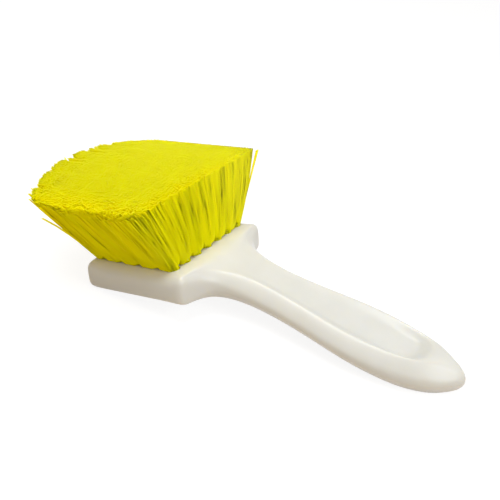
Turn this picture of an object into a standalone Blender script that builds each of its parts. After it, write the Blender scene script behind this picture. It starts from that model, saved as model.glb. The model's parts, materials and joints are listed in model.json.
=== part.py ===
"""Scrub brush: one white moulding, block and handle, set with thirty-five tufts of yellow filament.

The brush is modelled in the block's own frame: X from the block's front towards the handle's tip,
Y across the block, Z out of the face that holds the bristles, with the block's flat back at zero.
The empty named brush then lays it on its back: the front edge of the block and the underside of
the handle's end touch the ground, and the origin is at the middle of the footprint.
"""

import math
from collections import namedtuple

import bmesh
import bpy
import numpy as np
from mathutils import Matrix, Vector

# The moulding, in metres and degrees
BRUSH_LENGTH = 0.2015
BLOCK_LENGTH = 0.064
BLOCK_WIDTH = 0.0872
BLOCK_THICKNESS = 0.016
CORNER_RADIUS = 0.0042
BLOCK_BEVEL_WIDTH = 0.0062
BLOCK_BEVEL_HEIGHT = 0.0042
COVE_TOP_EDGE = 0.0022
BLOCK_BACK_EDGE = 0.0018
BACK_BEND_LENGTH = 0.004
COVE_LENGTH = 0.0074
GRIP_WIDTH = 0.0482
HANDLE_THICKNESS = 0.0172
HANDLE_RIM_EDGE = 0.006
HANDLE_BACK_EDGE = 0.0062
HANDLE_ANGLE = 17.6
TIP_LIFT = 0.0028
RECESS_DEPTH = 0.0066
MERGE_DISTANCE = 0.00005

# The tufts and their holes
ROWS = 5
COLUMNS = 7
FRONT_ROW_MARGIN = 0.0066
REAR_ROW_MARGIN = 0.0118
SIDE_MARGIN = 0.0104
HOLE_WALL = 0.0035
WALL_UNDER_HOLES = 0.0085
HOLE_SIDES = 12
CUT_OVERRUN = 0.006
FIT_GAP = 0.0003
STRAND_GAP = 0.0003
STRANDS_ALONG = 3
STRANDS_ACROSS = 4
SHARP_ANGLE = 40

# The trimmed end of the bristles: its height over the block's face and its reach past the block
TRIM_HEIGHT = 0.04
TRIM_CROWN = 0.0075
TRIM_FRONT_DROP = 0.0009
TRIM_FRONT_REACH = 0.0161
TRIM_FRONT_BULGE = 0.0186
TRIM_REAR_SETBACK = 0.0098
TRIM_SIDE_REACH = 0.0177
STRAND_FILL_SHARE = 0.82

# The section of the moulding, as shares of the half width in from the outline
RIM_SHARE = 0.1
FLOOR_SHARE = 0.37
FLAT_SHARE = 0.68
WALL_MIDDLE_SHARE = 0.48

# The corner and the cove: run past the block at the edge and on the middle line, width, and how
# far the back's edge and the face have gone from the block's to the neck's
COVE_SHARES = (
    (-0.04, -0.3, 1.0, 0.0, 0.05),
    (0.12, 0.1, 0.87, 0.1, 0.11),
    (0.36, 0.6, 0.69, 0.35, 0.27),
    (1.0, 1.15, 0.525, 0.75, 0.57),
)

# The handle's height at the block, and its run at the edge and on the middle line, width,
# thickness and recess depth
HANDLE_START_SHARE = 0.328
HANDLE_SHARES = (
    (0.13, 0.115, 0.78, 1.0, 0.08),
    (0.25, 0.25, 0.725, 0.97, 0.15),
    (0.41, 0.41, 0.83, 0.95, 0.22),
    (0.555, 0.56, 0.975, 0.97, 0.32),
    (0.68, 0.70, 0.97, 1.03, 0.6),
    (0.78, 0.815, 0.885, 1.06, 1.0),
    (0.833, 0.865, 0.79, 1.05, 0.0),
    (0.886, 0.915, 0.675, 1.03, 0.0),
    (0.936, 0.957, 0.495, 0.89, 0.0),
    (0.978, 0.985, 0.27, 0.62, 0.0),
    (0.998, 1.0, 0.12, 0.33, 0.0),
    (1.003, 1.003, 0.04, 0.12, 0.0),
)
TIP_START_SHARE = 0.52
TIP_EDGE_SHARE = 0.52

# How many times the search for the resting tilt halves its range
TILT_HALVINGS = 40

# Worked out from the sizes above
HOLE_DEPTH = BLOCK_THICKNESS - WALL_UNDER_HOLES
ROW_PITCH = (BLOCK_LENGTH - FRONT_ROW_MARGIN - REAR_ROW_MARGIN) / (ROWS - 1)
COLUMN_PITCH = (BLOCK_WIDTH - 2 * SIDE_MARGIN) / (COLUMNS - 1)
HOLE_RADIUS = (min(ROW_PITCH, COLUMN_PITCH) - HOLE_WALL) / 2
HANDLE_LENGTH = BRUSH_LENGTH - BLOCK_LENGTH
HANDLE_SLOPE = math.tan(math.radians(HANDLE_ANGLE))

Station = namedtuple(
    "Station", "edge_x middle_x half_width top back top_inset top_drop back_edge recess"
)


def srgb(red, green, blue):
    """A colour as read on screen, from 0 to 255, as the linear values that a shader takes."""
    steps = (value / 255 for value in (red, green, blue))
    linear = [s / 12.92 if s <= 0.04045 else ((s + 0.055) / 1.055) ** 2.4 for s in steps]
    return (*linear, 1.0)


def plain_material(name, color, roughness):
    material = bpy.data.materials.new(name)
    material.use_nodes = True
    shader = material.node_tree.nodes["Principled BSDF"]
    shader.inputs["Base Color"].default_value = color
    shader.inputs["Roughness"].default_value = roughness
    shader.inputs["Metallic"].default_value = 0.0
    material.diffuse_color = color
    return material


def add_object(name, mesh, collection, parent=None):
    piece = bpy.data.objects.new(name, mesh)
    collection.objects.link(piece)
    piece.parent = parent
    return piece


# Moulding

def block_stations():
    """Sections from the block's front face to the coves behind its rear corners."""
    half = BLOCK_WIDTH / 2
    edges = (BLOCK_BEVEL_WIDTH, BLOCK_BEVEL_HEIGHT, BLOCK_BACK_EDGE)
    cap_edges = (BLOCK_BEVEL_WIDTH / 2, BLOCK_BEVEL_HEIGHT / 2, BLOCK_BACK_EDGE)
    face = BLOCK_THICKNESS
    corner = CORNER_RADIUS
    lead = corner / 2
    ease = BLOCK_BACK_EDGE / 2
    stations = [
        Station(0, 0, half - corner, face - corner, corner, *cap_edges, 0),
        Station(0, 0, half - lead, face - ease, ease, *cap_edges, 0),
        Station(lead, lead, half, face, 0, *cap_edges, 0),
    ]
    for x in (BLOCK_LENGTH / 4, BLOCK_LENGTH / 2, BLOCK_LENGTH - 2 * corner):
        stations.append(Station(x, x, half, face, 0, *edges, 0))
    neck_x = BLOCK_LENGTH + HANDLE_LENGTH * HANDLE_SHARES[0][1]
    neck_top = handle_height(neck_x) + HANDLE_THICKNESS / 2
    for edge, middle, width, rise, fall in COVE_SHARES:
        x = BLOCK_LENGTH + COVE_LENGTH * middle
        drop = max(0, COVE_LENGTH * middle + BACK_BEND_LENGTH) * HANDLE_SLOPE
        top = face + (neck_top - face) * fall
        edge_x = BLOCK_LENGTH + COVE_LENGTH * edge
        top_edge = COVE_TOP_EDGE + (HANDLE_RIM_EDGE - COVE_TOP_EDGE) * fall
        back_edge = BLOCK_BACK_EDGE + (HANDLE_BACK_EDGE - BLOCK_BACK_EDGE) * rise
        stations.append(
            Station(edge_x, x, half * width, top, -drop, top_edge, top_edge, back_edge, 0)
        )
    return stations


def handle_height(x):
    """Height of the handle's middle line over the plane of the block's back."""
    run = x - BLOCK_LENGTH
    lift = TIP_LIFT * max(0, (run / HANDLE_LENGTH - TIP_START_SHARE) / (1 - TIP_START_SHARE)) ** 2
    return BLOCK_THICKNESS * HANDLE_START_SHARE - run * HANDLE_SLOPE + lift


def handle_stations():
    """Sections of the handle from the neck to the rounded tip."""
    stations = []
    for edge, middle, width, thickness, recess in HANDLE_SHARES:
        x = BLOCK_LENGTH + HANDLE_LENGTH * middle
        half_depth = HANDLE_THICKNESS * thickness / 2
        half = GRIP_WIDTH / 2 * width
        height = handle_height(x)
        rim_edge = min(HANDLE_RIM_EDGE, half * TIP_EDGE_SHARE)
        back_edge = min(HANDLE_BACK_EDGE, half * TIP_EDGE_SHARE)
        stations.append(
            Station(
                BLOCK_LENGTH + HANDLE_LENGTH * edge, x, half,
                height + half_depth, height - half_depth,
                rim_edge, rim_edge, back_edge, RECESS_DEPTH * recess,
            )
        )
    return stations


def inward_direction(stations, index):
    """Unit vector in plan: square to the block's outline, and straight across on the handle."""
    if index == 0 or index >= len(stations) - len(HANDLE_SHARES):
        return Vector((0, -1))
    before = stations[index - 1]
    after = stations[index + 1]
    along = Vector((after.edge_x - before.edge_x, after.half_width - before.half_width))
    return Vector((along.y, -along.x)).normalized()


def section_points(stations, index):
    """Half a section, from the middle of the back round the wall to the middle of the face."""
    s = stations[index]
    inward = inward_direction(stations, index)

    def inset(depth, z):
        return Vector((s.edge_x + inward.x * depth, s.half_width + inward.y * depth, z))

    def across(share, edge, z):
        """A point that lies a share of the way from the edge point to the middle line."""
        left = 1 - share
        bow = 1 - left * left
        x = edge.x + (s.middle_x - edge.x) * bow
        return Vector((x, edge.y * left, z))

    depth = s.top - s.back
    low = s.back + s.back_edge
    high = s.top - s.top_drop
    back_corner = inset(s.back_edge, s.back)
    face_corner = inset(s.top_inset, s.top)
    floor = s.top - s.recess
    return [
        across(1, back_corner, s.back),
        across(FLAT_SHARE, back_corner, s.back),
        across(FLOOR_SHARE, back_corner, s.back),
        across(RIM_SHARE, back_corner, s.back),
        back_corner,
        inset(0, low),
        inset(0, s.back + depth * WALL_MIDDLE_SHARE),
        inset(0, high),
        face_corner,
        across(RIM_SHARE, face_corner, s.top),
        across(FLOOR_SHARE, face_corner, floor),
        across(FLAT_SHARE, face_corner, floor),
        across(1, face_corner, floor),
    ]


def moulding_cage():
    """Half of the block and handle as a coarse cage, open at the plane of symmetry."""
    stations = block_stations() + handle_stations()
    cage = bmesh.new()
    rings = [
        [cage.verts.new(point) for point in section_points(stations, index)]
        for index in range(len(stations))
    ]
    for ring, following in zip(rings, rings[1:]):
        for step in range(len(ring) - 1):
            cage.faces.new((ring[step], following[step], following[step + 1], ring[step + 1]))
    for ring in (rings[0], rings[-1]):
        last = len(ring) - 1
        for step in range(last // 2 - 1):
            cage.faces.new((ring[step], ring[step + 1], ring[last - step - 1], ring[last - step]))
        middle = last // 2
        cage.faces.new((ring[middle - 1], ring[middle], ring[middle + 1]))
    bmesh.ops.recalc_face_normals(cage, faces=cage.faces)
    mesh = bpy.data.meshes.new("handle_block")
    cage.to_mesh(mesh)
    cage.free()
    mesh.shade_smooth()
    return mesh


def build_moulding(parent, parts, cutter, material):
    """The moulding: its mirrored cage made smooth, then drilled for the tufts."""
    mesh = moulding_cage()
    mesh.materials.append(material)
    moulding = add_object("handle_block", mesh, parts, parent)
    mirror = moulding.modifiers.new("other half", "MIRROR")
    mirror.use_axis = (False, True, False)
    mirror.use_clip = True
    mirror.merge_threshold = MERGE_DISTANCE
    smooth = moulding.modifiers.new("smooth form", "SUBSURF")
    smooth.levels = 1
    smooth.render_levels = 1
    drill = moulding.modifiers.new("tuft holes", "BOOLEAN")
    drill.operation = "DIFFERENCE"
    drill.solver = "EXACT"
    drill.object = cutter
    return moulding


# Tufts

def trim_point(across, along):
    """Where the filaments end: across from -1 to 1, along from 0 at the front to 1 at the rear."""
    arch = 1 - across * across
    front = -TRIM_FRONT_REACH - TRIM_FRONT_BULGE * arch
    rear = BLOCK_LENGTH - TRIM_REAR_SETBACK
    lift = (TRIM_CROWN * arch - TRIM_FRONT_DROP) * (1 - along)
    height = BLOCK_THICKNESS + TRIM_HEIGHT + lift
    side = BLOCK_WIDTH / 2 + TRIM_SIDE_REACH
    return Vector((front + (rear - front) * along, side * across, height))


def tuft_cell(row, column):
    """The middle of a tuft's patch of the trimmed end, and the patch's half sizes."""
    across = (2 * column + 1) / COLUMNS - 1
    along = (row + 0.5) / ROWS
    return across, along, 1 / COLUMNS, 0.5 / ROWS


def tuft_placement(row, column):
    """Matrix of a tuft: its origin at the hole's mouth, its Z along the filaments."""
    x = BLOCK_LENGTH - REAR_ROW_MARGIN - (ROWS - 1 - row) * ROW_PITCH
    y = (column - (COLUMNS - 1) / 2) * COLUMN_PITCH
    mouth = Vector((x, y, BLOCK_THICKNESS))
    across, along, _, _ = tuft_cell(row, column)
    axis = (trim_point(across, along) - mouth).normalized()
    side = axis.cross(Vector((1, 0, 0))).normalized()
    forward = side.cross(axis)
    turn = Matrix((forward, side, axis)).transposed()
    return Matrix.Translation(mouth) @ turn.to_4x4()


def foot_height(placement):
    """How far a tuft's foot stands past the hole's mouth to clear the slanting face."""
    slope = placement.to_3x3().col[2]
    lean = math.acos(min(1, slope.z))
    return HOLE_RADIUS * math.tan(lean) + FIT_GAP


def tuft_mesh(name, row, column, placement):
    """A foot that fits the hole, split into cells that each rise into one strand."""
    across, along, half_across, half_along = tuft_cell(row, column)
    radius = HOLE_RADIUS * math.cos(math.pi / HOLE_SIDES) - FIT_GAP
    top = foot_height(placement)
    bottom = FIT_GAP - HOLE_DEPTH
    to_tuft = placement.inverted()
    tuft = bmesh.new()
    bmesh.ops.create_grid(tuft, x_segments=STRANDS_ALONG, y_segments=STRANDS_ACROSS, size=1)
    cells = list(tuft.faces)
    strand_tips = []
    for cell in cells:
        middle = cell.calc_center_median()
        corners = [middle + (vert.co - middle) * STRAND_FILL_SHARE for vert in cell.verts]
        strand_tips.append([
            to_tuft @ trim_point(across + corner.y * half_across, along + corner.x * half_along)
            for corner in corners
        ])
    for vert in tuft.verts:
        x, y, _ = vert.co
        vert.co = Vector((
            x * math.sqrt(1 - y * y / 2) * radius,
            y * math.sqrt(1 - x * x / 2) * radius,
            top,
        ))
    rim = [edge for edge in tuft.edges if edge.is_boundary]
    skirt = bmesh.ops.extrude_edge_only(tuft, edges=rim)["geom"]
    for vert in (item for item in skirt if isinstance(item, bmesh.types.BMVert)):
        vert.co.z = bottom
    low_rim = [
        item for item in skirt
        if isinstance(item, bmesh.types.BMEdge) and item.is_boundary
    ]
    bmesh.ops.contextual_create(tuft, geom=low_rim)
    bmesh.ops.inset_individual(tuft, faces=cells, thickness=STRAND_GAP / 2)
    strands = bmesh.ops.extrude_discrete_faces(tuft, faces=cells)["faces"]
    for strand, tip in zip(strands, strand_tips):
        for vert, corner in zip(strand.verts, tip):
            vert.co = corner
    bmesh.ops.recalc_face_normals(tuft, faces=tuft.faces)
    mesh = bpy.data.meshes.new(name)
    tuft.to_mesh(mesh)
    tuft.free()
    mesh.shade_smooth()
    mesh.set_sharp_from_angle(angle=math.radians(SHARP_ANGLE))
    return mesh


def hole_cutter(placements, parent, collection):
    """All the blind holes as one set of cylinders, each along its tuft."""
    length = HOLE_DEPTH + CUT_OVERRUN
    drills = bmesh.new()
    for placement in placements:
        seat = Matrix.Translation((0, 0, length / 2 - HOLE_DEPTH))
        bmesh.ops.create_cone(
            drills, cap_ends=True, segments=HOLE_SIDES,
            radius1=HOLE_RADIUS, radius2=HOLE_RADIUS, depth=length,
            matrix=placement @ seat,
        )
    mesh = bpy.data.meshes.new("tuft_hole_drills")
    drills.to_mesh(mesh)
    drills.free()
    cutter = add_object("tuft_hole_drills", mesh, collection, parent)
    cutter.hide_render = True
    cutter.display_type = "WIRE"
    return cutter


# Placing the brush

def world_points(piece):
    """The piece's finished points, in the world."""
    bpy.context.view_layer.update()
    finished = piece.evaluated_get(bpy.context.evaluated_depsgraph_get())
    mesh = finished.to_mesh()
    points = np.empty(len(mesh.vertices) * 3)
    mesh.vertices.foreach_get("co", points)
    finished.to_mesh_clear()
    place = np.array(piece.matrix_world)
    return points.reshape(-1, 3) @ place[:3, :3].T + place[:3, 3]


def rest_angle(points):
    """The tilt, in radians, at which the block's front edge and the handle's end both touch."""
    x, z = points[:, 0], points[:, 2]
    block = x < BLOCK_LENGTH
    low, high = 0, math.pi / 4
    for _ in range(TILT_HALVINGS):
        angle = (low + high) / 2
        height = x * math.sin(angle) + z * math.cos(angle)
        if height[block].min() > height[~block].min():
            low = angle
        else:
            high = angle
    return (low + high) / 2


def lay_on_its_back(brush, moulding, tufts):
    """Tilts the brush until it lies on the ground, with the origin under its middle."""
    brush.rotation_euler = (0, -rest_angle(world_points(moulding)), 0)
    points = np.concatenate([world_points(piece) for piece in (moulding, *tufts)])
    low, high = points.min(axis=0), points.max(axis=0)
    middle = (low + high) / 2
    brush.location = (-middle[0], -middle[1], -low[2])


def main():
    for leftover in list(bpy.data.objects):
        bpy.data.objects.remove(leftover, do_unlink=True)
    parts = bpy.data.collections.new("scrub_brush")
    cutters = bpy.data.collections.new("cutters")
    bpy.context.scene.collection.children.link(parts)
    bpy.context.scene.collection.children.link(cutters)
    white = plain_material("white_plastic", srgb(235, 235, 225), 0.3)
    yellow = plain_material("yellow_filament", srgb(228, 216, 0), 0.45)
    brush = add_object("brush", None, parts)

    placements = {
        (row, column): tuft_placement(row, column)
        for row in range(ROWS)
        for column in range(COLUMNS)
    }
    drills = hole_cutter(placements.values(), brush, cutters)
    moulding = build_moulding(brush, parts, drills, white)
    tufts = []
    for (row, column), placement in placements.items():
        name = f"tuft_{row + 1}_{column + 1}"
        mesh = tuft_mesh(name, row, column, placement)
        mesh.materials.append(yellow)
        tuft = add_object(name, mesh, parts, brush)
        tuft.location = placement.to_translation()
        tuft.rotation_euler = placement.to_euler()
        tufts.append(tuft)
    lay_on_its_back(brush, moulding, tufts)


main()
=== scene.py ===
"""Looks of the scrub brush: a smooth glossy moulding, and tufts of fine yellow filament.

Both are modelled in the block's own frame, as the solids are: X from the block's front towards the
handle's tip, Y across the block, Z out of the face that holds the bristles, with the block's flat
back at zero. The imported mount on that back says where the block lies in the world.
"""

import json
import math
from collections import namedtuple

import bmesh
import bpy
import numpy as np
from mathutils import Matrix, Vector


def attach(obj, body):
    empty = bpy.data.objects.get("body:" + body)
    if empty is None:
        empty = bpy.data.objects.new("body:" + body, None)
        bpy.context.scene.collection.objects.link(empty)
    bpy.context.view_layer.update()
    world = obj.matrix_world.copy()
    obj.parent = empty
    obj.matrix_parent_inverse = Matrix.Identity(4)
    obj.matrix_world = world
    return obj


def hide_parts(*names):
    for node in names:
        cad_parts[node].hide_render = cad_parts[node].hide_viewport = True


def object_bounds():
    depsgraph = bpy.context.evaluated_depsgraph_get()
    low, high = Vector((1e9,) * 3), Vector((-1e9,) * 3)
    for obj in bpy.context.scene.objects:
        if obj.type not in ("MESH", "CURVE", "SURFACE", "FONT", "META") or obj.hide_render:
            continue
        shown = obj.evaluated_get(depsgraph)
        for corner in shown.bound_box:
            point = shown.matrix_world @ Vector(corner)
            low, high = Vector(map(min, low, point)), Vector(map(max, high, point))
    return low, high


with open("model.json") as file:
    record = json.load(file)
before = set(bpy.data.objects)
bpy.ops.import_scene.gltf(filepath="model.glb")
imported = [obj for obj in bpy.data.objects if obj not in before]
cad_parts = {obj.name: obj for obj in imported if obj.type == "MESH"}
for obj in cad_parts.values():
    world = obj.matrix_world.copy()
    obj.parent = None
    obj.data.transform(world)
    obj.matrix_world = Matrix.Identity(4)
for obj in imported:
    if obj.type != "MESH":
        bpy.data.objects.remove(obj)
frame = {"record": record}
cad_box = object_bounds()

# The moulding, in metres and degrees
BRUSH_LENGTH = 0.2015
BLOCK_LENGTH = 0.064
BLOCK_WIDTH = 0.0872
BLOCK_THICKNESS = 0.016
CORNER_RADIUS = 0.0042
BLOCK_BEVEL_WIDTH = 0.0062
BLOCK_BEVEL_HEIGHT = 0.0042
COVE_TOP_EDGE = 0.0022
BLOCK_BACK_EDGE = 0.0018
BACK_BEND_LENGTH = 0.004
COVE_LENGTH = 0.0074
GRIP_WIDTH = 0.0482
HANDLE_THICKNESS = 0.0172
HANDLE_RIM_EDGE = 0.006
HANDLE_BACK_EDGE = 0.0062
HANDLE_ANGLE = 17.6
TIP_LIFT = 0.0028
RECESS_DEPTH = 0.0066
MERGE_DISTANCE = 0.00005
SMOOTH_LEVELS = 3
SHARP_ANGLE = 40

# The holes, which follow the tufts
ROWS = 5
COLUMNS = 7
FRONT_ROW_MARGIN = 0.0066
REAR_ROW_MARGIN = 0.0118
SIDE_MARGIN = 0.0104
HOLE_WALL = 0.0035
WALL_UNDER_HOLES = 0.0085
HOLE_SIDES = 24
CUT_OVERRUN = 0.006

# The trimmed end of the bristles: its height over the block's face and its reach past the block
TRIM_HEIGHT = 0.04
TRIM_CROWN = 0.0075
TRIM_FRONT_DROP = 0.0009
TRIM_FRONT_REACH = 0.0161
TRIM_FRONT_BULGE = 0.0186
TRIM_REAR_SETBACK = 0.0098
TRIM_SIDE_REACH = 0.0177

# The filaments: how many stand each way in a tuft, how far they leave an even grid, and their shape
FILAMENTS_EACH_WAY = 24
GRID_SCATTER_SHARE = 0.25
FILAMENT_RADIUS = 0.00023
TIP_RADIUS = 0.00046
FILAMENT_SIDES = 4
FILAMENT_SHARP_ANGLE = 60

# The points along a filament: first those near the block's face, then those up to the tip
OPENING_STEPS = 3
RISE_STEPS = 6
STEP_POWER = 1.4

# How the filaments leave the hole: the bundle's radius, how deep in the hole it starts, how high
# over the face it has opened, and how much room it has before a hole's slanting rim
BUNDLE_RADIUS = 0.0035
START_DEPTH = 0.003
OPENING_HEIGHT = 0.0008
THROAT_SHARE = 0.4

# How far the filaments bow out halfway up, at the front and at the rear
FRONT_BOW = 0.0016
REAR_BOW = 0.0014

# How full each tuft's patch of the trimmed end is, and where that end stops on each side
FILL_SHARE = 1.08
FRONT_LIMIT_SHARE = 0.022
REAR_LIMIT_SHARE = 0.985
NEAR_LIMIT_SHARE = -0.985
FAR_LIMIT_SHARE = 0.96

# The rim of the trimmed end: how far its filaments drop, how close to the rim, its round corner
# near the handle, and how far its front filaments stick out
RIM_DROP = 0.006
RIM_DROP_POWER = 8
RIM_DROP_RUN_SHARE = 0.35
REAR_CORNER_RADIUS = 0.012
FRONT_FRINGE = 0.0006

# How late on its way up a stray leaves the rest, and the random part of every filament
STRAY_POWER = 2
TIP_SCATTER = 0.0002
LENGTH_SCATTER = 0.0001
BEND_SCATTER = 0.00008
SEED = 11

# Notches in the front rim: where they lie across and how far they run in, then their width, how
# low their filaments are, and the run over which these rise again
NOTCH_SHARES = (
    (-0.94, 0.05),
    (-0.74, 0.065),
    (-0.44, 0.02),
    (-0.155, 0.1),
    (-0.08, 0.055),
    (0.147, 0.075),
    (0.25, 0.03),
    (0.44, 0.02),
)
NOTCH_WIDTH_SHARE = 0.022
NOTCH_DIP = 0.07
DIP_RUN_SHARE = 0.1

# How far the near side draws in at its front corner, and over what run
CORNER_DRAW_SHARE = 0.065
CORNER_RUN_SHARE = 0.14

# Filaments that stand apart: row and column of the tuft, then across, along and height of the tip
STRAY_SHARES = (
    (1, 1, -0.95, 0.09, 0.88),
    (1, 1, -0.98, 0.11, 0.92),
    (1, 1, -0.95, 0.1, 0.74),
    (1, 1, -0.98, 0.12, 0.77),
    (1, 3, -0.2, 0.03, 1.03),
    (1, 4, 0.0, -0.03, 0.96),
    (5, 7, 0.985, 1.02, 0.97),
    (5, 7, 0.98, 1.03, 0.98),
    (5, 7, 0.97, 1.02, 0.98),
    (5, 7, 0.96, 1.03, 0.98),
)

# The section of the moulding, as shares of the half width in from the outline
RIM_SHARE = 0.1
FLOOR_SHARE = 0.37
FLAT_SHARE = 0.68
WALL_MIDDLE_SHARE = 0.48

# The corner and the cove: run past the block at the edge and on the middle line, width, and how
# far the back's edge and the face have gone from the block's to the neck's
COVE_SHARES = (
    (-0.04, -0.3, 1.0, 0.0, 0.05),
    (0.12, 0.1, 0.87, 0.1, 0.11),
    (0.36, 0.6, 0.69, 0.35, 0.27),
    (1.0, 1.15, 0.525, 0.75, 0.57),
)

# The handle's height at the block, and its run at the edge and on the middle line, width,
# thickness and recess depth
HANDLE_START_SHARE = 0.328
HANDLE_SHARES = (
    (0.13, 0.115, 0.78, 1.0, 0.08),
    (0.25, 0.25, 0.725, 0.97, 0.15),
    (0.41, 0.41, 0.83, 0.95, 0.22),
    (0.555, 0.56, 0.975, 0.97, 0.32),
    (0.68, 0.70, 0.97, 1.03, 0.6),
    (0.78, 0.815, 0.885, 1.06, 1.0),
    (0.833, 0.865, 0.79, 1.05, 0.0),
    (0.886, 0.915, 0.675, 1.03, 0.0),
    (0.936, 0.957, 0.495, 0.89, 0.0),
    (0.978, 0.985, 0.27, 0.62, 0.0),
    (0.998, 1.0, 0.12, 0.33, 0.0),
    (1.003, 1.003, 0.04, 0.12, 0.0),
)
TIP_START_SHARE = 0.52
TIP_EDGE_SHARE = 0.52

# The camera, in the block's frame
CAMERA_PLACE = (0.2864, -0.3513, 0.1927)
CAMERA_FORWARD = (-0.4632, 0.7933, -0.3952)
CAMERA_UP = (-0.1418, 0.3739, 0.9166)
CAMERA_LENS = 58.2
SENSOR_WIDTH = 36

# Colours as read on screen: the darkest, the plain one and the lightest of each plastic
WHITES = ((211, 210, 203), (213, 212, 206), (215, 214, 208))
YELLOWS = ((253, 230, 0), (254, 235, 0), (255, 239, 0))

# The moulding's plastic: each noise as scale and detail, roughness as lowest, plain and highest
MOTTLE_NOISE = (55, 3)
MOTTLE_RANGE = (0.3, 0.7)
GLOSS_NOISE = (260, 4)
WHITE_ROUGHNESS = (0.3, 0.33, 0.37)
RIPPLE_NOISE = (110, 2)
RIPPLE_STRENGTH = 0.04
RIPPLE_DEPTH = 0.0002
WHITE_IOR = 1.49
WHITE_SUBSURFACE = 0.6
WHITE_SUBSURFACE_RADIUS = (1.0, 0.85, 0.6)
WHITE_SUBSURFACE_SCALE = 0.004

# The filaments' plastic, in the same terms, with the share of the tone that each filament sets
DRIFT_NOISE = (140, 2)
OWN_TONE_SHARE = 0.5
TONE_RANGE = (0.15, 0.85)
YELLOW_ROUGHNESS = (0.4, 0.48, 0.55)
YELLOW_SPECULAR = 0.1
YELLOW_SUBSURFACE = 1.0
YELLOW_SUBSURFACE_RADIUS = (1.0, 0.9, 0.1)
YELLOW_SUBSURFACE_SCALE = 0.0008

# The stage: the floor's size, its colour for the light, its shade and glow for the eye, the
# surround, and each lamp's name, place, size and power
FLOOR_SIZE = 6
FLOOR_COLOUR = (0.7, 0.6, 0.49, 1)
FLOOR_SHADE = (0.2, 0.2, 0.2, 1)
FLOOR_GLOW = 0.88
SURROUND_COLOUR = (1, 0.94, 0.86, 1)
SURROUND_STRENGTH = 0.41
LAMP_COLOUR = (0.97, 1, 1.03)
LAMP_TARGET = (0, 0, 0.03)
LAMPS = (
    ("overhead", (-0.15, -0.05, 0.9), 0.7, 6.3),
    ("key", (0.75, -0.2, 0.6), 0.6, 3.6),
)

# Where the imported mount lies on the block's back
MOUNT_RUN = 0.025

# Worked out from the sizes above
HOLE_DEPTH = BLOCK_THICKNESS - WALL_UNDER_HOLES
ROW_PITCH = (BLOCK_LENGTH - FRONT_ROW_MARGIN - REAR_ROW_MARGIN) / (ROWS - 1)
COLUMN_PITCH = (BLOCK_WIDTH - 2 * SIDE_MARGIN) / (COLUMNS - 1)
HOLE_RADIUS = (min(ROW_PITCH, COLUMN_PITCH) - HOLE_WALL) / 2
HANDLE_LENGTH = BRUSH_LENGTH - BLOCK_LENGTH
HANDLE_SLOPE = math.tan(math.radians(HANDLE_ANGLE))

Station = namedtuple(
    "Station", "edge_x middle_x half_width top back top_inset top_drop back_edge recess"
)


# Placing

def block_placement():
    """Matrix from the block's frame to the world, from the mount on the block's back."""
    mount = next(m for m in frame["record"]["mounts"] if m["name"] == "block_back")
    axis = Vector(mount["axis"])
    turn = Matrix.Rotation(-math.atan2(axis.x, -axis.z), 4, "Y")
    shift = Vector(mount["pos_m"]) - turn @ Vector((MOUNT_RUN, 0, 0))
    return Matrix.Translation(shift) @ turn


# Materials

def srgb(red, green, blue):
    """A colour as read on screen, from 0 to 255, as the linear values that a shader takes."""
    steps = (value / 255 for value in (red, green, blue))
    linear = [s / 12.92 if s <= 0.04045 else ((s + 0.055) / 1.055) ** 2.4 for s in steps]
    return (*linear, 1.0)


def new_material(name):
    """A new material with its nodes and links."""
    material = bpy.data.materials.new(name)
    material.use_nodes = True
    return material, material.node_tree.nodes, material.node_tree.links


def noise(nodes, links, coordinates, scale, detail):
    """A noise texture's value over the given coordinates."""
    texture = nodes.new("ShaderNodeTexNoise")
    texture.inputs["Scale"].default_value = scale
    texture.inputs["Detail"].default_value = detail
    links.new(coordinates, texture.inputs["Vector"])
    return texture.outputs["Fac"]


def maths(nodes, links, operation, *values):
    """The result of a maths node on the values, each of them a socket or a plain number."""
    node = nodes.new("ShaderNodeMath")
    node.operation = operation
    for socket, value in zip(node.inputs, values):
        if isinstance(value, bpy.types.NodeSocket):
            links.new(value, socket)
        else:
            socket.default_value = value
    return node.outputs["Value"]


def drive_colour(nodes, links, shader, value, places, colours):
    """Base colour from the darkest to the lightest of three as the value passes the two places."""
    dark, plain, light = (srgb(*colour) for colour in colours)
    ramp = nodes.new("ShaderNodeValToRGB")
    for point, place, colour in zip(ramp.color_ramp.elements, places, (dark, light)):
        point.position = place
        point.color = colour
    links.new(value, ramp.inputs["Fac"])
    shader.inputs["Base Color"].default_value = plain
    links.new(ramp.outputs["Color"], shader.inputs["Base Color"])


def drive_roughness(nodes, links, shader, value, levels):
    """Roughness from the lowest to the highest of three levels as the value goes from 0 to 1."""
    low, plain, high = levels
    spread = nodes.new("ShaderNodeMapRange")
    spread.inputs["To Min"].default_value = low
    spread.inputs["To Max"].default_value = high
    links.new(value, spread.inputs["Value"])
    shader.inputs["Roughness"].default_value = plain
    links.new(spread.outputs["Result"], shader.inputs["Roughness"])


def set_subsurface(shader, weight, radius, scale):
    """How much light passes into the plastic, and how far each colour goes."""
    shader.inputs["Subsurface Weight"].default_value = weight
    shader.inputs["Subsurface Radius"].default_value = radius
    shader.inputs["Subsurface Scale"].default_value = scale


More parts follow.
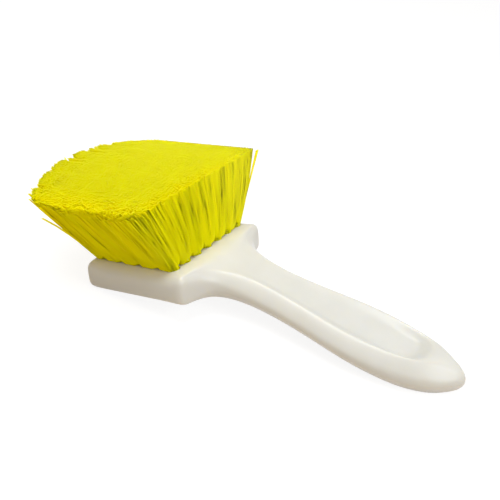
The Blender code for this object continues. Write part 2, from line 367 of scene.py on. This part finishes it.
def white_plastic():
    """Ivory white moulded plastic: soft mottling, a faint ripple and fine handling marks."""
    material, nodes, links = new_material("white_plastic")
    shader = nodes["Principled BSDF"]
    place = nodes.new("ShaderNodeTexCoord").outputs["Object"]
    mottle = noise(nodes, links, place, *MOTTLE_NOISE)
    drive_colour(nodes, links, shader, mottle, MOTTLE_RANGE, WHITES)
    marks = noise(nodes, links, place, *GLOSS_NOISE)
    drive_roughness(nodes, links, shader, marks, WHITE_ROUGHNESS)
    bump = nodes.new("ShaderNodeBump")
    bump.inputs["Strength"].default_value = RIPPLE_STRENGTH
    bump.inputs["Distance"].default_value = RIPPLE_DEPTH
    links.new(noise(nodes, links, place, *RIPPLE_NOISE), bump.inputs["Height"])
    links.new(bump.outputs["Normal"], shader.inputs["Normal"])
    shader.inputs["IOR"].default_value = WHITE_IOR
    set_subsurface(shader, WHITE_SUBSURFACE, WHITE_SUBSURFACE_RADIUS, WHITE_SUBSURFACE_SCALE)
    return material


def yellow_filament():
    """Drawn yellow plastic: each filament has its own tone, and the tone shifts along it."""
    material, nodes, links = new_material("yellow_filament")
    shader = nodes["Principled BSDF"]
    place = nodes.new("ShaderNodeTexCoord").outputs["Object"]
    own = nodes.new("ShaderNodeAttribute")
    own.attribute_name = "filament_tone"
    drift = noise(nodes, links, place, *DRIFT_NOISE)
    shift = maths(nodes, links, "MULTIPLY", drift, 1 - OWN_TONE_SHARE)
    tone = maths(nodes, links, "MULTIPLY_ADD", own.outputs["Fac"], OWN_TONE_SHARE, shift)
    drive_colour(nodes, links, shader, tone, TONE_RANGE, YELLOWS)
    drive_roughness(nodes, links, shader, drift, YELLOW_ROUGHNESS)
    shader.inputs["Specular IOR Level"].default_value = YELLOW_SPECULAR
    set_subsurface(shader, YELLOW_SUBSURFACE, YELLOW_SUBSURFACE_RADIUS, YELLOW_SUBSURFACE_SCALE)
    return material


# Moulding

def block_stations():
    """Sections from the block's front face to the coves behind its rear corners."""
    half = BLOCK_WIDTH / 2
    edges = (BLOCK_BEVEL_WIDTH, BLOCK_BEVEL_HEIGHT, BLOCK_BACK_EDGE)
    cap_edges = (BLOCK_BEVEL_WIDTH / 2, BLOCK_BEVEL_HEIGHT / 2, BLOCK_BACK_EDGE)
    face = BLOCK_THICKNESS
    corner = CORNER_RADIUS
    lead = corner / 2
    ease = BLOCK_BACK_EDGE / 2
    stations = [
        Station(0, 0, half - corner, face - corner, corner, *cap_edges, 0),
        Station(0, 0, half - lead, face - ease, ease, *cap_edges, 0),
        Station(lead, lead, half, face, 0, *cap_edges, 0),
    ]
    for x in (BLOCK_LENGTH / 4, BLOCK_LENGTH / 2, BLOCK_LENGTH - 2 * corner):
        stations.append(Station(x, x, half, face, 0, *edges, 0))
    neck_x = BLOCK_LENGTH + HANDLE_LENGTH * HANDLE_SHARES[0][1]
    neck_top = handle_height(neck_x) + HANDLE_THICKNESS / 2
    for edge, middle, width, rise, fall in COVE_SHARES:
        x = BLOCK_LENGTH + COVE_LENGTH * middle
        drop = max(0, COVE_LENGTH * middle + BACK_BEND_LENGTH) * HANDLE_SLOPE
        top = face + (neck_top - face) * fall
        edge_x = BLOCK_LENGTH + COVE_LENGTH * edge
        top_edge = COVE_TOP_EDGE + (HANDLE_RIM_EDGE - COVE_TOP_EDGE) * fall
        back_edge = BLOCK_BACK_EDGE + (HANDLE_BACK_EDGE - BLOCK_BACK_EDGE) * rise
        stations.append(
            Station(edge_x, x, half * width, top, -drop, top_edge, top_edge, back_edge, 0)
        )
    return stations


def handle_height(x):
    """Height of the handle's middle line over the plane of the block's back."""
    run = x - BLOCK_LENGTH
    lift = TIP_LIFT * max(0, (run / HANDLE_LENGTH - TIP_START_SHARE) / (1 - TIP_START_SHARE)) ** 2
    return BLOCK_THICKNESS * HANDLE_START_SHARE - run * HANDLE_SLOPE + lift


def handle_stations():
    """Sections of the handle from the neck to the rounded tip."""
    stations = []
    for edge, middle, width, thickness, recess in HANDLE_SHARES:
        x = BLOCK_LENGTH + HANDLE_LENGTH * middle
        half_depth = HANDLE_THICKNESS * thickness / 2
        half = GRIP_WIDTH / 2 * width
        height = handle_height(x)
        rim_edge = min(HANDLE_RIM_EDGE, half * TIP_EDGE_SHARE)
        back_edge = min(HANDLE_BACK_EDGE, half * TIP_EDGE_SHARE)
        stations.append(
            Station(
                BLOCK_LENGTH + HANDLE_LENGTH * edge, x, half,
                height + half_depth, height - half_depth,
                rim_edge, rim_edge, back_edge, RECESS_DEPTH * recess,
            )
        )
    return stations


def inward_direction(stations, index):
    """Unit vector in plan: square to the block's outline, and straight across on the handle."""
    if index == 0 or index >= len(stations) - len(HANDLE_SHARES):
        return Vector((0, -1))
    before = stations[index - 1]
    after = stations[index + 1]
    along = Vector((after.edge_x - before.edge_x, after.half_width - before.half_width))
    return Vector((along.y, -along.x)).normalized()


def section_points(stations, index):
    """Half a section, from the middle of the back round the wall to the middle of the face."""
    s = stations[index]
    inward = inward_direction(stations, index)

    def inset(depth, z):
        """A point at a depth from the outline, square to it."""
        return Vector((s.edge_x + inward.x * depth, s.half_width + inward.y * depth, z))

    def across(share, edge, z):
        """A point that lies a share of the way from the edge point to the middle line."""
        left = 1 - share
        bow = 1 - left * left
        x = edge.x + (s.middle_x - edge.x) * bow
        return Vector((x, edge.y * left, z))

    depth = s.top - s.back
    low = s.back + s.back_edge
    high = s.top - s.top_drop
    back_corner = inset(s.back_edge, s.back)
    face_corner = inset(s.top_inset, s.top)
    floor = s.top - s.recess
    return [
        across(1, back_corner, s.back),
        across(FLAT_SHARE, back_corner, s.back),
        across(FLOOR_SHARE, back_corner, s.back),
        across(RIM_SHARE, back_corner, s.back),
        back_corner,
        inset(0, low),
        inset(0, s.back + depth * WALL_MIDDLE_SHARE),
        inset(0, high),
        face_corner,
        across(RIM_SHARE, face_corner, s.top),
        across(FLOOR_SHARE, face_corner, floor),
        across(FLAT_SHARE, face_corner, floor),
        across(1, face_corner, floor),
    ]


def moulding_cage():
    """Half of the block and handle as a coarse cage, open at the plane of symmetry."""
    stations = block_stations() + handle_stations()
    cage = bmesh.new()
    rings = [
        [cage.verts.new(point) for point in section_points(stations, index)]
        for index in range(len(stations))
    ]
    for ring, following in zip(rings, rings[1:]):
        for step in range(len(ring) - 1):
            cage.faces.new((ring[step], following[step], following[step + 1], ring[step + 1]))
    for ring in (rings[0], rings[-1]):
        last = len(ring) - 1
        for step in range(last // 2 - 1):
            cage.faces.new((ring[step], ring[step + 1], ring[last - step - 1], ring[last - step]))
        middle = last // 2
        cage.faces.new((ring[middle - 1], ring[middle], ring[middle + 1]))
    bmesh.ops.recalc_face_normals(cage, faces=cage.faces)
    mesh = bpy.data.meshes.new("moulding")
    cage.to_mesh(mesh)
    cage.free()
    return mesh


def hole_drills(placements):
    """All the blind holes as one set of cylinders, each along its tuft."""
    length = HOLE_DEPTH + CUT_OVERRUN
    drills = bmesh.new()
    for placement in placements:
        seat = Matrix.Translation((0, 0, length / 2 - HOLE_DEPTH))
        bmesh.ops.create_cone(
            drills, cap_ends=True, segments=HOLE_SIDES,
            radius1=HOLE_RADIUS, radius2=HOLE_RADIUS, depth=length,
            matrix=placement @ seat,
        )
    mesh = bpy.data.meshes.new("hole_drills")
    drills.to_mesh(mesh)
    drills.free()
    drills = bpy.data.objects.new("hole_drills", mesh)
    bpy.context.scene.collection.objects.link(drills)
    return drills


def finished_mesh(piece):
    """The piece's mesh with its modifiers applied."""
    evaluated = piece.evaluated_get(bpy.context.evaluated_depsgraph_get())
    return bpy.data.meshes.new_from_object(evaluated)


def build_moulding(to_world, placements):
    """The moulding at a fine level, drilled for the tufts."""
    moulding = bpy.data.objects.new("moulding", moulding_cage())
    bpy.context.scene.collection.objects.link(moulding)
    mirror = moulding.modifiers.new("other half", "MIRROR")
    mirror.use_axis = (False, True, False)
    mirror.use_clip = True
    mirror.merge_threshold = MERGE_DISTANCE
    smooth = moulding.modifiers.new("smooth form", "SUBSURF")
    smooth.levels = SMOOTH_LEVELS
    smooth.render_levels = SMOOTH_LEVELS
    drill = moulding.modifiers.new("tuft holes", "BOOLEAN")
    drill.object = hole_drills(placements)
    drill.solver = "EXACT"
    mesh = finished_mesh(moulding)
    bpy.data.objects.remove(drill.object)
    moulding.modifiers.clear()
    moulding.data = mesh
    mesh.transform(to_world)
    mesh.shade_smooth()
    mesh.set_sharp_from_angle(angle=math.radians(SHARP_ANGLE))
    mesh.materials.clear()
    mesh.materials.append(white_plastic())
    return moulding


# Tufts

def trim_point(across, along):
    """Where the filaments end: across from -1 to 1, along from 0 at the front to 1 at the rear."""
    arch = 1 - across * across
    front = -TRIM_FRONT_REACH - TRIM_FRONT_BULGE * arch
    rear = BLOCK_LENGTH - TRIM_REAR_SETBACK
    lift = (TRIM_CROWN * arch - TRIM_FRONT_DROP) * (1 - along)
    height = BLOCK_THICKNESS + TRIM_HEIGHT + lift
    side = BLOCK_WIDTH / 2 + TRIM_SIDE_REACH
    return Vector((front + (rear - front) * along, side * across, height))


def tuft_cell(row, column):
    """The middle of a tuft's patch of the trimmed end, and the patch's half sizes."""
    across = (2 * column + 1) / COLUMNS - 1
    along = (row + 0.5) / ROWS
    return across, along, 1 / COLUMNS, 0.5 / ROWS


def tuft_placement(row, column):
    """Matrix of a tuft: its origin at the hole's mouth, its Z along the filaments."""
    x = BLOCK_LENGTH - REAR_ROW_MARGIN - (ROWS - 1 - row) * ROW_PITCH
    y = (column - (COLUMNS - 1) / 2) * COLUMN_PITCH
    mouth = Vector((x, y, BLOCK_THICKNESS))
    across, along, _, _ = tuft_cell(row, column)
    axis = (trim_point(across, along) - mouth).normalized()
    side = axis.cross(Vector((1, 0, 0))).normalized()
    forward = side.cross(axis)
    turn = Matrix((forward, side, axis)).transposed()
    return Matrix.Translation(mouth) @ turn.to_4x4()


def square_points(each_way, rng):
    """An even grid of points over a square of half size 1, each moved a little."""
    steps = (np.arange(each_way) + 0.5) * 2 / each_way - 1
    points = np.stack(np.meshgrid(steps, steps), axis=-1).reshape(-1, 2)
    shift = rng.uniform(-1, 1, size=points.shape) * GRID_SCATTER_SHARE * 2 / each_way
    return points + shift


def square_to_disc(points):
    """The square's points drawn in evenly to the disc inside it."""
    flat = np.abs(points[:, 0]) > np.abs(points[:, 1])
    reach = np.where(flat, points[:, 0], points[:, 1])
    aside = np.where(flat, points[:, 1], points[:, 0])
    turn = math.pi / 4 * aside / reach
    ahead, off = reach * np.cos(turn), reach * np.sin(turn)
    return np.stack([np.where(flat, ahead, off), np.where(flat, off, ahead)], axis=1)


def notch_run(across):
    """How far the notches run in from the front rim, along."""
    return sum(
        depth * math.exp(-((across - place) / NOTCH_WIDTH_SHARE) ** 2)
        for place, depth in NOTCH_SHARES
    )


def near_limit(along):
    """Where the trimmed end stops on the near side, across: further in at the front corner."""
    return NEAR_LIMIT_SHARE + CORNER_DRAW_SHARE * math.exp(-(along / CORNER_RUN_SHARE) ** 2)


def filament_tip(across, along, fray=0):
    """Where a filament ends: within the limits, and lower towards the rim by its own fray."""
    along = min(along, REAR_LIMIT_SHARE)
    across = max(near_limit(along), min(across, FAR_LIMIT_SHARE))
    notch = notch_run(across)
    along = max(along, FRONT_LIMIT_SHARE + notch)
    tip = trim_point(across, along)
    near_edge = max(0, -across) ** RIM_DROP_POWER * min(1, along / RIM_DROP_RUN_SHARE)
    rear_edge = max(0, 2 * along - 1) ** RIM_DROP_POWER * (1 - across) / 2
    tip.z -= RIM_DROP * fray * max(near_edge, rear_edge)
    tip.z -= NOTCH_DIP * notch * math.exp(-(along / DIP_RUN_SHARE) ** 2)
    corner = trim_point(NEAR_LIMIT_SHARE, REAR_LIMIT_SHARE)
    middle = Vector((corner.x - REAR_CORNER_RADIUS, corner.y + REAR_CORNER_RADIUS))
    reach = tip.xy - middle
    if reach.x > 0 > reach.y and reach.length > REAR_CORNER_RADIUS:
        tip.xy = middle + reach * (REAR_CORNER_RADIUS / reach.length)
    return tip


def outward(index, count):
    """Which way the outside lies for a row or column at the rim, and 0 for one inside."""
    return (index == count - 1) - (index == 0)


def spread_in_cell(square, index, count, pitch):
    """Places from -1 to 1 spread over half a pitch each way, and less on a side at the rim."""
    low = BUNDLE_RADIUS if outward(index, count) < 0 else pitch / 2
    high = BUNDLE_RADIUS if outward(index, count) > 0 else pitch / 2
    return np.where(square < 0, square * low, square * high)


def strays(row, column):
    """Where a tuft's strays start, on the unit square, where they end, and how far off the rest."""
    across, along, _, _ = tuft_cell(row, column)
    starts, ends, leans = [], [], []
    for stray_row, stray_column, tip_across, tip_along, height in STRAY_SHARES:
        if (stray_row, stray_column) == (row + 1, column + 1):
            tip = trim_point(tip_across, tip_along)
            tip.z = BLOCK_THICKNESS + (tip.z - BLOCK_THICKNESS) * height
            ends.append(tip)
            leans.append(tip - filament_tip(tip_across, tip_along))
            starts.append(Vector((tip_along - along, tip_across - across)).normalized())
    return (
        np.array(starts).reshape(-1, 2),
        np.array(ends).reshape(-1, 3),
        np.array(leans).reshape(-1, 3),
    )


def places_over_hole(square, row, column):
    """Where filaments lie round the tuft's axis: in the hole, and where they have opened."""
    disc = square_to_disc(square) * BUNDLE_RADIUS
    cell = np.stack([
        spread_in_cell(square[:, 0], row, ROWS, ROW_PITCH),
        spread_in_cell(square[:, 1], column, COLUMNS, COLUMN_PITCH),
    ], axis=1)
    outer = (square[:, 0] * outward(row, ROWS) > 0) & (square[:, 1] * outward(column, COLUMNS) > 0)
    cell[outer] = disc[outer]
    return disc, cell


def rise_shares(length):
    """Shares of the way from the hole to the tip at which a filament of this length has a point."""
    opened = np.linspace(0, OPENING_HEIGHT * 2 / length, OPENING_STEPS)
    risen = opened[-1] + (1 - opened[-1]) * np.linspace(0, 1, RISE_STEPS) ** STEP_POWER
    return np.concatenate([opened, risen[1:]])


def tuft_tips(row, column, square, rng):
    """Where a tuft's filaments end, for their places on its square."""
    across, along, half_across, half_along = tuft_cell(row, column)
    tips = np.array([
        filament_tip(across + y * half_across, along + x * half_along, fray)
        for (x, y), fray in zip(square * FILL_SHARE, rng.random(len(square)))
    ])
    tips += rng.normal(scale=TIP_SCATTER, size=tips.shape) * (1, 1, 0)
    tips[:, 0] -= rng.exponential(FRONT_FRINGE, size=len(tips)) * (row == 0)
    return tips


def filament_paths(row, column, placement, rng):
    """Centre lines of a tuft's filaments, as filament by step by x, y, z, in the block's frame."""
    across, along, _, _ = tuft_cell(row, column)
    square = square_points(FILAMENTS_EACH_WAY, rng)
    tips = tuft_tips(row, column, square, rng)
    stray_starts, stray_tips, stray_leans = strays(row, column)
    square = np.concatenate([square, stray_starts])
    tips = np.concatenate([tips, stray_tips])
    count = len(tips)

    turn = np.array(placement.to_3x3())
    axis = turn[:, 2]
    clear = BUNDLE_RADIUS * math.tan(math.acos(min(1, axis[2]))) * THROAT_SHARE
    throat = np.array(placement.translation) + axis * clear
    length = np.linalg.norm(np.array(trim_point(across, along)) - throat)
    rise = rise_shares(length)
    opening = (1 - np.exp(-rise * length / OPENING_HEIGHT))[None, :, None]
    disc, cell = places_over_hole(square, row, column)
    in_hole = disc @ turn[:, :2].T
    in_cell = cell @ turn[:, :2].T
    feet = throat + in_hole[:, None] * (1 - opening) + in_cell[:, None] * opening
    paths = feet + (tips[:, None] - feet) * rise[None, :, None]
    held = (rise - rise ** STRAY_POWER)[None, :, None]
    paths[count - len(stray_tips):] -= stray_leans[:, None] * held
    bend = rng.normal(scale=BEND_SCATTER, size=(count, 3))
    bend[:, 0] += REAR_BOW * along - FRONT_BOW * (1 - along)
    paths += bend[:, None] * np.sin(np.pi * rise)[None, :, None]
    last = paths[:, -1] - paths[:, -2]
    last /= np.linalg.norm(last, axis=1)[:, None]
    paths[:, -1] += last * rng.normal(scale=LENGTH_SCATTER, size=count)[:, None]
    start = throat + in_hole - axis * (START_DEPTH + clear)
    return np.concatenate([start[:, None], paths], axis=1)


def tube_mesh(name, paths, radii, sides, tones):
    """One closed thin tube along each path, cut level at its end, all in one mesh."""
    count, steps, _ = paths.shape
    along = np.gradient(paths, axis=1)
    along /= np.linalg.norm(along, axis=2)[..., None]
    side = np.cross(along, (0.0, 1.0, 0.0))
    side /= np.linalg.norm(side, axis=2)[..., None]
    other = np.cross(along, side)
    turn = np.arange(sides) * 2 * math.pi / sides
    ring = side[:, :, None] * np.cos(turn)[:, None] + other[:, :, None] * np.sin(turn)[:, None]
    points = paths[:, :, None] + ring * radii[:, None, None]
    above = points[:, -1, :, 2] - paths[:, -1, None, 2]
    points[:, -1] -= along[:, -1, None] * (above / along[:, -1, None, 2])[..., None]
    index = np.arange(count * steps * sides).reshape(count, steps, sides)
    here, ahead = index[:, :-1], index[:, 1:]
    walls = np.stack([
        here, np.roll(here, -1, axis=2), np.roll(ahead, -1, axis=2), ahead,
    ], axis=-1).reshape(-1, 4)
    faces = walls.tolist()
    faces += index[:, 0, ::-1].tolist()
    faces += index[:, -1].tolist()
    mesh = bpy.data.meshes.new(name)
    mesh.from_pydata(points.reshape(-1, 3).tolist(), [], faces)
    attribute = mesh.attributes.new("filament_tone", "FLOAT", "POINT")
    attribute.data.foreach_set("value", np.repeat(tones, steps * sides).astype(np.float32))
    mesh.shade_smooth()
    mesh.set_sharp_from_angle(angle=math.radians(FILAMENT_SHARP_ANGLE))
    return mesh


def keep_inside(mesh, box):
    """Holds the few filament ends that would reach past the box of the solids."""
    places = np.empty(len(mesh.vertices) * 3)
    mesh.vertices.foreach_get("co", places)
    places = np.clip(places.reshape(-1, 3), *box)
    mesh.vertices.foreach_set("co", places.ravel())
    mesh.update()


def build_tuft(row, column, placement, to_world, material, rng):
    """One tuft of fine filaments in its hole."""
    paths = filament_paths(row, column, placement, rng)
    tones = rng.random(len(paths))
    name = f"filaments_{row + 1}_{column + 1}"
    radii = np.linspace(FILAMENT_RADIUS, TIP_RADIUS, paths.shape[1])
    mesh = tube_mesh(name, paths, radii, FILAMENT_SIDES, tones)
    mesh.transform(to_world)
    keep_inside(mesh, cad_box)
    mesh.materials.append(material)
    tuft = bpy.data.objects.new(name, mesh)
    bpy.context.scene.collection.objects.link(tuft)
    return tuft


# Stage

def floor_material():
    """White floor that keeps a light shadow, and that gloss sees as the same white."""
    material, nodes, links = new_material("floor_white")
    nodes.remove(nodes["Principled BSDF"])
    output = nodes["Material Output"]
    rays = nodes.new("ShaderNodeLightPath").outputs
    sight = maths(nodes, links, "MAXIMUM", rays["Is Camera Ray"], rays["Is Glossy Ray"])
    any_sight = maths(nodes, links, "MAXIMUM", sight, rays["Is Transmission Ray"])
    plain = nodes.new("ShaderNodeBsdfDiffuse")
    plain.inputs["Color"].default_value = FLOOR_COLOUR
    shade = nodes.new("ShaderNodeBsdfDiffuse")
    shade.inputs["Color"].default_value = FLOOR_SHADE
    glow = nodes.new("ShaderNodeEmission")
    glow.inputs["Strength"].default_value = FLOOR_GLOW
    seen = nodes.new("ShaderNodeAddShader")
    links.new(shade.outputs["BSDF"], seen.inputs[0])
    links.new(glow.outputs["Emission"], seen.inputs[1])
    choice = nodes.new("ShaderNodeMixShader")
    links.new(any_sight, choice.inputs["Fac"])
    links.new(plain.outputs["BSDF"], choice.inputs[1])
    links.new(seen.outputs["Shader"], choice.inputs[2])
    links.new(choice.outputs["Shader"], output.inputs["Surface"])
    return material


def build_floor():
    """The floor, which belongs to the stage and not to the brush."""
    bpy.ops.mesh.primitive_plane_add(size=FLOOR_SIZE)
    floor = bpy.context.object
    floor.name = "floor"
    floor.data.materials.append(floor_material())


def build_world():
    """A white surround at a plain level, seen as white."""
    world = bpy.data.worlds.new("studio")
    bpy.context.scene.world = world
    world.use_nodes = True
    nodes, links = world.node_tree.nodes, world.node_tree.links
    light = nodes["Background"]
    light.inputs["Strength"].default_value = SURROUND_STRENGTH
    light.inputs["Color"].default_value = SURROUND_COLOUR
    white = nodes.new("ShaderNodeBackground")
    white.inputs["Color"].default_value = (1, 1, 1, 1)
    white.inputs["Strength"].default_value = 1.0
    rays = nodes.new("ShaderNodeLightPath")
    choice = nodes.new("ShaderNodeMixShader")
    links.new(rays.outputs["Is Camera Ray"], choice.inputs["Fac"])
    links.new(light.outputs["Background"], choice.inputs[1])
    links.new(white.outputs["Background"], choice.inputs[2])
    links.new(choice.outputs["Shader"], nodes["World Output"].inputs["Surface"])


def build_lights():
    """Round lamps, all turned to the same point."""
    for name, place, size, power in LAMPS:
        data = bpy.data.lights.new(name, "AREA")
        data.shape = "DISK"
        data.size = size
        data.energy = power
        data.color = LAMP_COLOUR
        lamp = bpy.data.objects.new(name, data)
        bpy.context.scene.collection.objects.link(lamp)
        lamp.location = place
        aim = Vector(LAMP_TARGET) - Vector(place)
        lamp.rotation_euler = aim.to_track_quat("-Z", "Y").to_euler()


def build_camera(to_world):
    """The photo's camera, which was solved in the block's frame."""
    data = bpy.data.cameras.new("camera")
    data.lens = CAMERA_LENS
    data.sensor_width = SENSOR_WIDTH
    camera = bpy.data.objects.new("camera", data)
    bpy.context.scene.collection.objects.link(camera)
    forward = Vector(CAMERA_FORWARD).normalized()
    right = forward.cross(Vector(CAMERA_UP)).normalized()
    up = right.cross(forward)
    turn = Matrix((right, up, -forward)).transposed().to_4x4()
    camera.matrix_world = to_world @ Matrix.Translation(CAMERA_PLACE) @ turn
    bpy.context.scene.camera = camera


def main():
    """Builds the brush and its stage."""
    bpy.context.scene.view_settings.view_transform = "Standard"
    to_world = block_placement()
    placements = {
        (row, column): tuft_placement(row, column)
        for row in range(ROWS)
        for column in range(COLUMNS)
    }
    moulding = build_moulding(to_world, placements.values())
    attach(moulding, "root")
    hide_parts("handle_block")
    yellow = yellow_filament()
    rng = np.random.default_rng(SEED)
    for (row, column), placement in placements.items():
        tuft = build_tuft(row, column, placement, to_world, yellow, rng)
        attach(tuft, "root")
        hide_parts(f"tuft_{row + 1}_{column + 1}")
    build_floor()
    build_world()
    build_lights()
    build_camera(to_world)


main()
